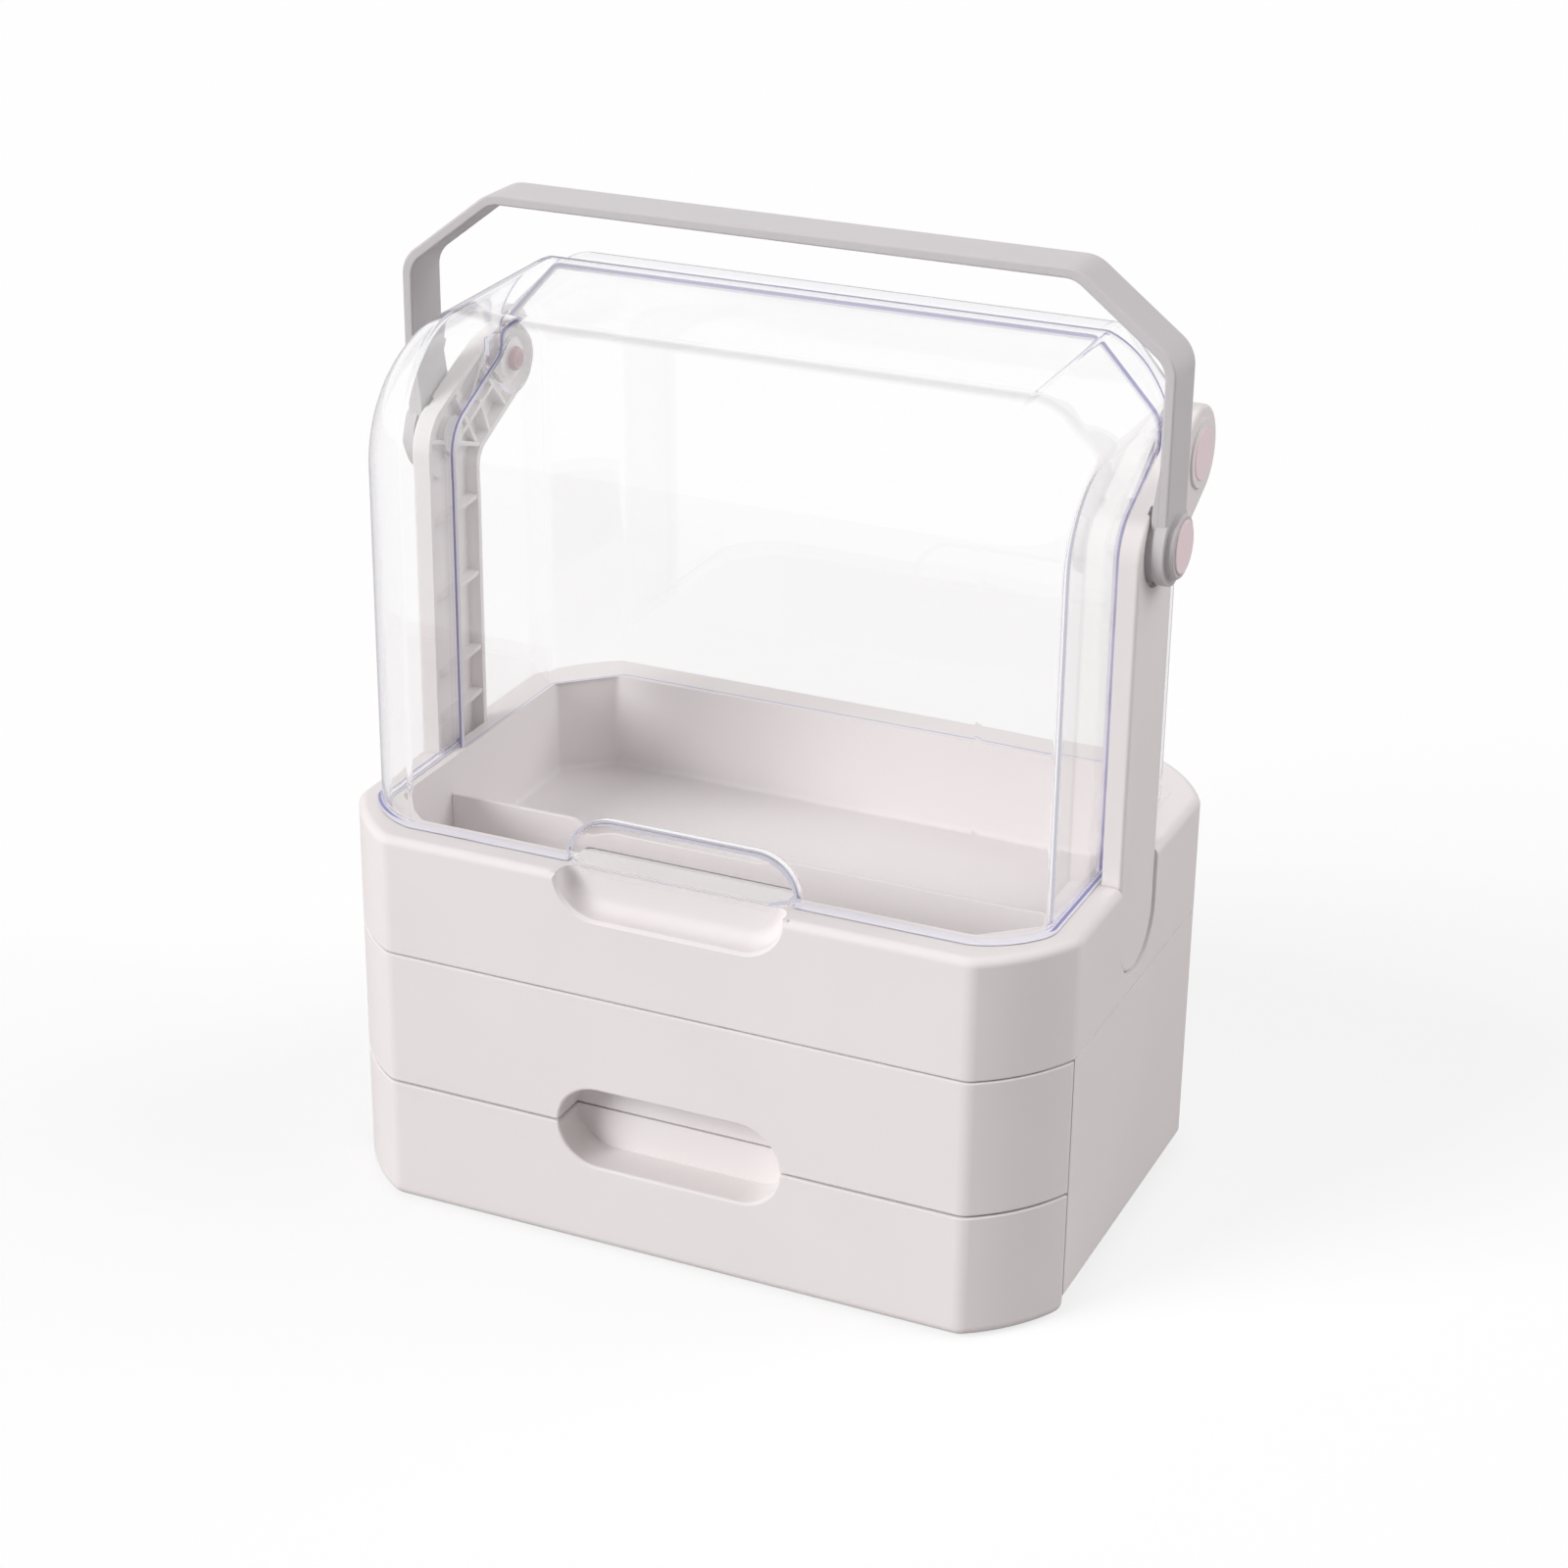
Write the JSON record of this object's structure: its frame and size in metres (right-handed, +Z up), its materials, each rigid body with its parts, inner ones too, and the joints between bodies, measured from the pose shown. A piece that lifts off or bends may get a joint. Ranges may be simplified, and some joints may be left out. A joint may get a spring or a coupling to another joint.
{
  "type": "makeup storage case",
  "caption": "Carry case for makeup: drawers under a deep tray, a clear dust cover that swings up and back, and a bail handle.",
  "frame": {"origin": "on the surface it stands on, under the middle of the base", "axes": "+Z up, -Y the front with the drawers, +X the right side seen from the front"},
  "size_m": [0.297, 0.191, 0.3616],
  "materials": {
    "pale_plastic": "satin moulded, warm grey-white",
    "clear_plastic": "clear gloss moulding with violet-blue edges",
    "rose_plastic": "satin moulded, dusty rose",
    "zinc_steel": "zinc plated",
    "foot_rubber": "matte soft rubber"
  },
  "bodies": {
    "base": {"casing_shell": "pale_plastic", "middle_shelf": "pale_plastic", "rubber_feet": "foot_rubber", "tray_surround": "pale_plastic", "tray_pan": "pale_plastic", "tray_divider": "pale_plastic", "tray_screws": "zinc_steel", "right_arm": "pale_plastic", "left_arm": "pale_plastic", "arm_screws": "zinc_steel", "rear_cover": "clear_plastic", "right_cover_pin": "rose_plastic", "left_cover_pin": "rose_plastic", "cover_pin_clips": "rose_plastic"},
    "lower_drawer": {"lower_drawer_front": "pale_plastic", "lower_drawer_box": "pale_plastic", "lower_drawer_screws": "zinc_steel"},
    "upper_drawer": {"upper_drawer_front": "pale_plastic", "upper_drawer_box": "pale_plastic", "upper_drawer_screws": "zinc_steel"},
    "cover": {"front_cover": "clear_plastic"},
    "bail": {"handle": "pale_plastic", "right_handle_pin": "rose_plastic", "left_handle_pin": "rose_plastic"}
  },
  "joints": [
    {"name": "lower_drawer_slide", "type": "slide", "parent": "base", "child": "lower_drawer", "axis": [0, -1, 0], "range_m": [0, 0.125]},
    {"name": "upper_drawer_slide", "type": "slide", "parent": "base", "child": "upper_drawer", "axis": [0, -1, 0], "range_m": [0, 0.125]},
    {"name": "cover_open", "type": "hinge", "parent": "base", "child": "cover", "pos_m": [0, 0.0395, 0.2873], "axis": [-1, 0, 0], "range_deg": [0, 85]},
    {"name": "handle_fold", "type": "hinge", "parent": "base", "child": "bail", "pos_m": [0, -0.0028, 0.2683], "axis": [-1, 0, 0], "range_deg": [0, 94]}
  ],
  "couplings": [
    {"joint": "handle_fold", "follows": "cover_open", "ratio": 1.1}
  ]
}
